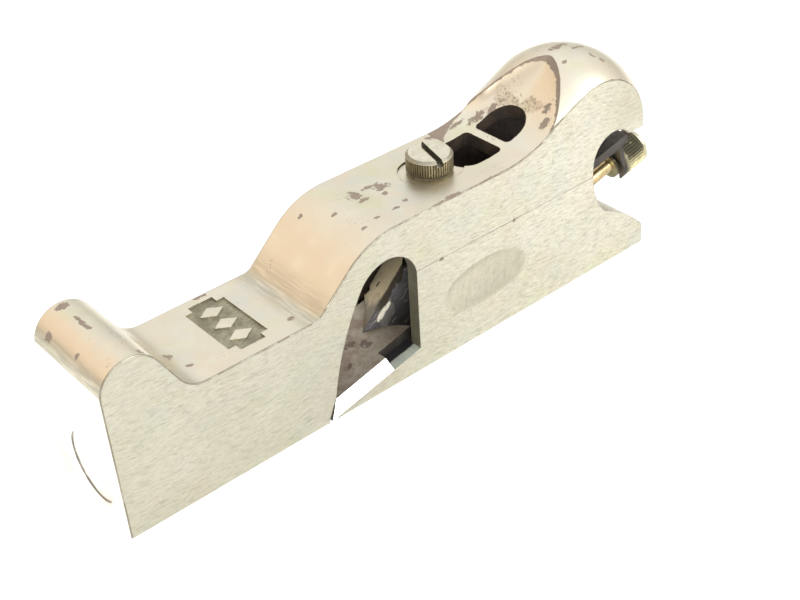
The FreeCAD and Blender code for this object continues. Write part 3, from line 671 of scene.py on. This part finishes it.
def base_rule(place, normal, inner):
    """Which metal a face of the base casting has."""
    x, y, z = place
    if z < 0.02 or (abs(y) > HALF - 3.0 and abs(normal.y) > 0.3):
        return "ground"
    if x < THROAT_REAR + 0.1:
        return "bed" if normal.z > 0.9 else "throat"
    if x > CUTAWAY_X and normal.z > 0.02:
        return "ground"
    return "raw_shaded"


def cutter_rule(place, normal, inner):
    """Bright flanks and bevel, rusty face, a dull tail behind the cutaway of the heel, and near-black
    painted shade on the shank's sides and the tail's other faces.
    """
    side = abs(normal.y) > 0.4 and abs(place.y) > FLANK_Y
    bevel = normal.x < -0.2 and place.x < BEVEL_X
    if side or bevel:
        return "flank"
    # painted shade: the shank's sides and the tail's faces other than its front are near-black
    if place.x < CUTAWAY_X:
        return "dark_shade" if abs(normal.y) > 0.5 else "face"
    return "tail" if normal.x < -0.9 else "dark_shade"


def cap_rule(place, normal, inner):
    """The two facets of the cap's nose, and everything else."""
    if normal.z > 0.2 and abs(normal.y) > 0.2:
        return "near" if normal.y < 0 else "far"
    return "rest"


def whole_rule(place, normal, inner):
    return "all"


# ------------------------------------------------------------------ pieces that stand for plain ones
def threaded_stud(material):
    """The adjusting stud with its thread cut on it, in place of the plain rod."""
    low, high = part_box("adjusting_stud")
    axis = Vector(ALONG_BED)
    across_axis = Vector(OFF_BED)
    radius = high.y
    lean = 2 * radius * math.sin(BED_ANGLE)
    length = ((high.x - low.x) - lean) / math.cos(BED_ANGLE)
    start = Vector((low.x + lean, 0, low.z)) + across_axis * radius
    pitch = THREAD_PITCH * MM
    depth = THREAD_DEPTH * MM
    around = 32
    per_turn = 6
    rings = int(length / pitch * per_turn)
    vertices, faces = [], []
    for ring in range(rings + 1):
        along = length * ring / rings
        for spoke in range(around):
            turn = 2 * math.pi * spoke / around
            phase = (along / pitch - spoke / around) % 1.0
            cut = depth * (1 - abs(2 * phase - 1))
            reach = radius - (cut if 0 < ring < rings else depth)
            side = Vector((0, math.cos(turn), 0)) + across_axis * math.sin(turn)
            vertices.append(start + axis * along + side * reach)
    for ring in range(rings):
        for spoke in range(around):
            a = ring * around + spoke
            b = ring * around + (spoke + 1) % around
            faces.append((a, b, b + around, a + around))
    faces.append(tuple(range(around))[::-1])
    faces.append(tuple(rings * around + spoke for spoke in range(around)))
    mesh = bpy.data.meshes.new("threaded_stud")
    mesh.from_pydata([tuple(v) for v in vertices], [], faces)
    mesh.materials.append(material)
    for face in mesh.polygons:
        face.use_smooth = len(face.vertices) == 4
    stud = bpy.data.objects.new("threaded_stud", mesh)
    bpy.context.scene.collection.objects.link(stud)
    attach(stud, "base")
    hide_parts("adjusting_stud")


# ------------------------------------------------------------------ studio
def floor():
    """A plain pale sheet, wide enough to fill any view."""
    g = Graph("pale_floor")
    paper = g.noise(60, 3.0)
    colour = g.mix(paper, (0.94, 0.94, 0.94), (0.97, 0.97, 0.97))
    g.finish(colour, 0.9, metallic=0.0)
    g.shader.inputs["Specular IOR Level"].default_value = 0.1
    half = 6.0
    mesh = bpy.data.meshes.new("floor")
    corners = [(-half, -half, 0), (half, -half, 0), (half, half, 0), (-half, half, 0)]
    mesh.from_pydata(corners, [], [(0, 1, 2, 3)])
    mesh.materials.append(g.material)
    plane = bpy.data.objects.new("floor", mesh)
    bpy.context.scene.collection.objects.link(plane)


def softbox(name, place, aim, size, power):
    """A white rectangular light at place that points at aim, in metres and watts."""
    light = bpy.data.lights.new(name, "AREA")
    light.shape = "RECTANGLE"
    light.size, light.size_y = size
    light.energy = power
    lamp = bpy.data.objects.new(name, light)
    lamp.location = place
    lamp.rotation_mode = "QUATERNION"
    lamp.rotation_quaternion = (Vector(aim) - Vector(place)).to_track_quat("-Z", "Y")
    bpy.context.scene.collection.objects.link(lamp)


def ramp_of(tree, source, stops):
    """Colours along a value, given as pairs of a place on the ramp and its colour."""
    ramp = tree.nodes.new("ShaderNodeValToRGB")
    while len(ramp.color_ramp.elements) < len(stops):
        ramp.color_ramp.elements.new(0.5)
    for element, (where, colour) in zip(ramp.color_ramp.elements, stops):
        element.position = where
        element.color = (*colour, 1)
    tree.links.new(source, ramp.inputs["Fac"])
    return ramp.outputs["Color"]


def studio_light():
    """A pale tent, brightest overhead and warm beyond the toe, one key softbox and three fills."""
    world = bpy.data.worlds.new("tent")
    bpy.context.scene.world = world
    world.use_nodes = True
    tree = world.node_tree
    tree.nodes.clear()
    place = tree.nodes.new("ShaderNodeTexCoord")
    split = tree.nodes.new("ShaderNodeSeparateXYZ")
    tree.links.new(place.outputs["Generated"], split.inputs[0])
    plain = ramp_of(tree, split.outputs["Z"], [
        (0.0, (0.30, 0.29, 0.25)), (0.12, (0.42, 0.41, 0.37)), (0.34, (0.66, 0.65, 0.62)),
        (0.62, (0.70, 0.70, 0.70)), (0.84, (0.80, 0.80, 0.80))])
    warm = ramp_of(tree, split.outputs["Z"], [
        (0.0, (0.46, 0.44, 0.36)), (0.12, (0.52, 0.46, 0.38)), (0.34, (0.84, 0.70, 0.56)),
        (0.66, (0.80, 0.72, 0.62)), (0.88, (0.84, 0.82, 0.79))])
    towards = tree.nodes.new("ShaderNodeVectorMath")
    towards.operation = "DOT_PRODUCT"
    towards.inputs[1].default_value = (-0.62, 0.78, 0.0)
    tree.links.new(place.outputs["Generated"], towards.inputs[0])
    lobe = tree.nodes.new("ShaderNodeMapRange")
    lobe.interpolation_type = "SMOOTHSTEP"
    lobe.inputs["From Min"].default_value = 0.35
    lobe.inputs["From Max"].default_value = 0.75
    tree.links.new(towards.outputs["Value"], lobe.inputs["Value"])
    mixed = tree.nodes.new("ShaderNodeMix")
    mixed.data_type = "RGBA"
    tree.links.new(lobe.outputs["Result"], mixed.inputs["Factor"])
    tree.links.new(plain, mixed.inputs["A"])
    tree.links.new(warm, mixed.inputs["B"])
    background = tree.nodes.new("ShaderNodeBackground")
    background.inputs["Strength"].default_value = 1.5
    tree.links.new(mixed.outputs["Result"], background.inputs["Color"])
    out = tree.nodes.new("ShaderNodeOutputWorld")
    tree.links.new(background.outputs[0], out.inputs["Surface"])
    softbox("key", place=(0.42, -0.85, 0.72), aim=(0.10, 0, 0.04), size=(1.5, 0.9), power=6.5)
    softbox("heel_fill", place=(0.30, -0.32, 0.40), aim=(0.11, -0.10, 0.0), size=(0.3, 0.3), power=0.6)
    softbox("toe_fill", place=(-0.42, -0.30, 0.38), aim=(-0.12, -0.03, 0.0), size=(0.35, 0.35), power=0.3)
    softbox("throat_fill", place=(-0.35, -0.56, 0.25), aim=(0, 0, 0.02), size=(0.25, 0.25), power=1.6)


def camera():
    """Beside the toe on the left, above the deck, rolled a little."""
    azimuth = math.radians(-38.732)
    elevation = math.radians(35.573)
    roll = math.radians(-3.568)
    back = Vector((math.sin(azimuth) * math.cos(elevation),
                   -math.cos(azimuth) * math.cos(elevation), math.sin(elevation)))
    right = (-back).cross(Vector((0, 0, 1))).normalized()
    up = right.cross(-back)
    turned_right = right * math.cos(roll) + up * math.sin(roll)
    turned_up = up * math.cos(roll) - right * math.sin(roll)
    corner = Vector((cad_low.x, cad_low.y, 0))
    place = corner + Vector((-93.585, -228.846, 237.405)) * MM
    data = bpy.data.cameras.new("camera")
    data.sensor_width = 36.0
    data.lens = 59.85
    data.clip_start = 0.01
    eye = bpy.data.objects.new("camera", data)
    eye.matrix_world = Matrix.Translation(place) @ Matrix((
        (turned_right.x, turned_up.x, back.x), (turned_right.y, turned_up.y, back.y),
        (turned_right.z, turned_up.z, back.z))).to_4x4()
    bpy.context.scene.collection.objects.link(eye)
    bpy.context.scene.camera = eye


def middle(node):
    """Middle of a CAD node's box, in millimetres from the toe."""
    low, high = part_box(node)
    centre = (low + high) / 2
    return ((centre.x - TOE_X) / MM, centre.y / MM, centre.z / MM)


# ------------------------------------------------------------------ put together
camera()
floor()
studio_light()
bpy.context.scene.view_settings.view_transform = "Standard"

ground = ground_metal("ground_sides", 2.0)
# unplated iron inside and underneath, painted near-black as the shade in there
raw_shaded = dull_iron("raw_casting_painted_shade", (0.030, 0.023, 0.017), (0.065, 0.043, 0.030),
                rough=0.6, depth=0.15, metallic=0.4, seed=8.0)
throat = dull_iron("throat_walls", (0.185, 0.17, 0.115), (0.145, 0.135, 0.095),
                   rough=0.5, depth=0.05, metallic=0.6, seed=11.0)
dress("top_casting", {
    "plated": plated_metal("worn_nickel", DECK_SPOTS + EDGE_SPOTS + NOSE_SPOTS + CROWN_SPOTS, 5.0),
    "scoop": plated_metal("scoop_nickel", SCOOP_SPOTS + EDGE_SPOTS, 5.0, scoop=True),
    "toe": polished_toe("polished_toe", 33.0),
    "recess": recess_wall("recess_wall", 34.0),
    "edge": eased_edge("eased_edges", 36.0),
    "panel": dull_iron("stippled_panel", (0.40, 0.38, 0.28), (0.27, 0.25, 0.18),
                       rough=0.4, depth=0.25, metallic=1.0, seed=39.0, size=2.2),
    "ground": ground, "raw_shaded": raw_shaded, "throat": throat}, casting_rule)
dress("base_casting", {
    "bed": milled_bed("milled_bed", 42.0),
    "ground": ground, "raw_shaded": raw_shaded, "throat": throat}, base_rule)
dress("cutter", {
    "face": cutter_face("patinated_blade", 14.0),
    "tail": dull_iron("cutter_tail", (0.26, 0.24, 0.21), (0.20, 0.18, 0.15),
                      rough=0.34, depth=0.03, metallic=1.0, seed=45.0),
    "dark_shade": dull_iron("cutter_painted_shade", (0.055, 0.045, 0.04), (0.09, 0.08, 0.07),
                      rough=0.45, depth=0.05, metallic=0.7, seed=46.0),
    "flank": cutter_flank("bright_flank", 16.0)}, cutter_rule)
dress("lever_cap", {
    "near": cap_facet("facet_painted_shade", pale=False, seed=19.0),
    "far": cap_facet("facet_painted_lit", pale=True, seed=20.0),
    "rest": dull_iron("cap_iron", (0.12, 0.10, 0.07), (0.07, 0.055, 0.04),
                      rough=0.45, depth=0.06, metallic=0.8, seed=48.0)}, cap_rule)

dress("body_screw", {"all": knurled_metal(
    "screw_metal", light=(0.78, 0.75, 0.62), deep=(0.66, 0.62, 0.48), crest=(0.235, 0.205, 0.135),
    middle=middle("body_screw"), axis=(0, 0, 1), radius=SCREW_RADIUS, seed=22.0)}, whole_rule)
dress("adjusting_nut", {"all": knurled_metal(
    "nut_metal", light=(0.55, 0.52, 0.38), deep=(0.42, 0.39, 0.26), crest=(0.62, 0.56, 0.33),
    middle=middle("adjusting_nut"), axis=ALONG_BED, radius=NUT_RADIUS, seed=25.0,
    plain=NUT_PLAIN)}, whole_rule)
# the cap screw sits inside the casting and is painted near-black as the shade in there
dress("lever_cap_screw", {"all": knurled_metal(
    "cap_screw_painted_shade", light=(0.060, 0.050, 0.038), deep=(0.045, 0.036, 0.027),
    crest=(0.05, 0.04, 0.03), middle=middle("lever_cap_screw"), axis=OFF_BED,
    radius=CAP_SCREW_RADIUS, seed=28.0)}, whole_rule)
threaded_stud(brass("aged_brass", 31.0))
